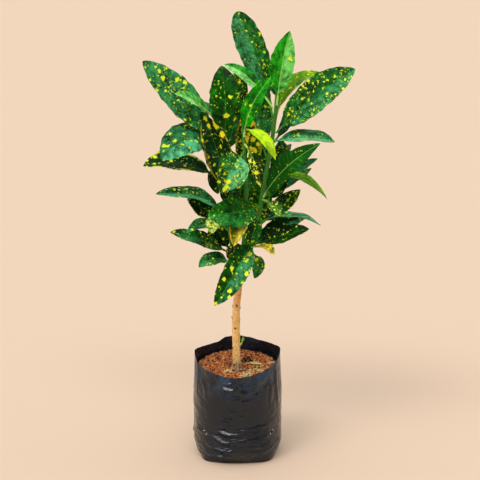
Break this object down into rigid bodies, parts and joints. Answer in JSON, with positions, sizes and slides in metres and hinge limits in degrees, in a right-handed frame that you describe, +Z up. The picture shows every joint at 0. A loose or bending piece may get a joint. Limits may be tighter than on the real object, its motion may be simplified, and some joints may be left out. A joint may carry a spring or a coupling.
{
  "type": "potted croton",
  "caption": "Gold dust croton with lance-shaped spotted leaves on a forked woody trunk, growing in a black film nursery bag of coir mix.",
  "frame": {"origin": "middle of the bag's underside, on the surface it rests on", "axes": "+Z up along the trunk, -Y to the front, +X to the right as seen from the front"},
  "size_m": [0.2957, 0.1991, 0.6463],
  "materials": {
    "bag_film": "satin",
    "coir_mix": "matte",
    "bark": "matte",
    "leaf_mature": "satin",
    "leaf_young": "satin",
    "leaf_olive": "satin",
    "leaf_chartreuse": "satin",
    "leaf_mottled": "satin",
    "leaf_dying": "matte",
    "dry_leaf": "matte"
  },
  "bodies": {
    "root": {"grow_bag": "bag_film", "potting_mix": "coir_mix", "trunk": "bark", "dry_leaf": "dry_leaf", "leaf_sprout": "leaf_young", "leaf_top": "leaf_mature", "leaf_upright": "leaf_young", "leaf_olive_arch": "leaf_olive", "leaf_right_upper": "leaf_mature", "leaf_right_behind": "leaf_mature", "leaf_right_level": "leaf_mature", "leaf_right_front": "leaf_young", "leaf_right_shade_high": "leaf_mature", "leaf_right_shade_low": "leaf_mature", "leaf_olive_droop": "leaf_olive", "leaf_right_under_front": "leaf_mature", "leaf_right_spotted": "leaf_mature", "leaf_pale_hanging": "leaf_mottled", "leaf_right_blade_thin": "leaf_mature", "leaf_right_blade_back": "leaf_mature", "leaf_right_low": "leaf_mature", "leaf_curled_tip": "leaf_dying", "leaf_low_right_small": "leaf_mature", "leaf_front_low": "leaf_mature", "leaf_left_upper": "leaf_mature", "leaf_left_young": "leaf_young", "leaf_dark_upright": "leaf_mature", "leaf_pale_left": "leaf_young", "leaf_bright_middle": "leaf_young", "leaf_chartreuse": "leaf_chartreuse", "leaf_left_middle": "leaf_mature", "leaf_left_long": "leaf_mature", "leaf_left_dark_front": "leaf_mature", "leaf_left_shade_low": "leaf_mature", "leaf_heart_front": "leaf_mature", "leaf_left_level": "leaf_mature", "leaf_left_shade": "leaf_mature", "leaf_centre_front": "leaf_mature", "leaf_mottled_tip": "leaf_mottled", "leaf_left_low_small": "leaf_mature", "leaf_left_low": "leaf_mature", "leaf_left_hook": "leaf_mature", "leaf_yellow_folded": "leaf_dying", "leaf_narrow_front": "leaf_mature", "leaf_blue_back": "leaf_mature", "leaf_teal_upright": "leaf_mature", "leaf_mottled_hanging": "leaf_mottled", "leaf_middle_blotched": "leaf_mature", "leaf_centre_shade": "leaf_mature", "leaf_low_shade": "leaf_mature", "leaf_inner_back": "leaf_mature", "leaf_back_top": "leaf_mature", "leaf_back_right": "leaf_mature", "leaf_back_left_top": "leaf_mature", "leaf_back_left": "leaf_mature", "leaf_back_left_middle": "leaf_mature", "leaf_back_middle": "leaf_mature", "leaf_back_left_low": "leaf_mature", "leaf_back_right_low": "leaf_mature", "leaf_back_low": "leaf_mature"}
  },
  "joints": []
}
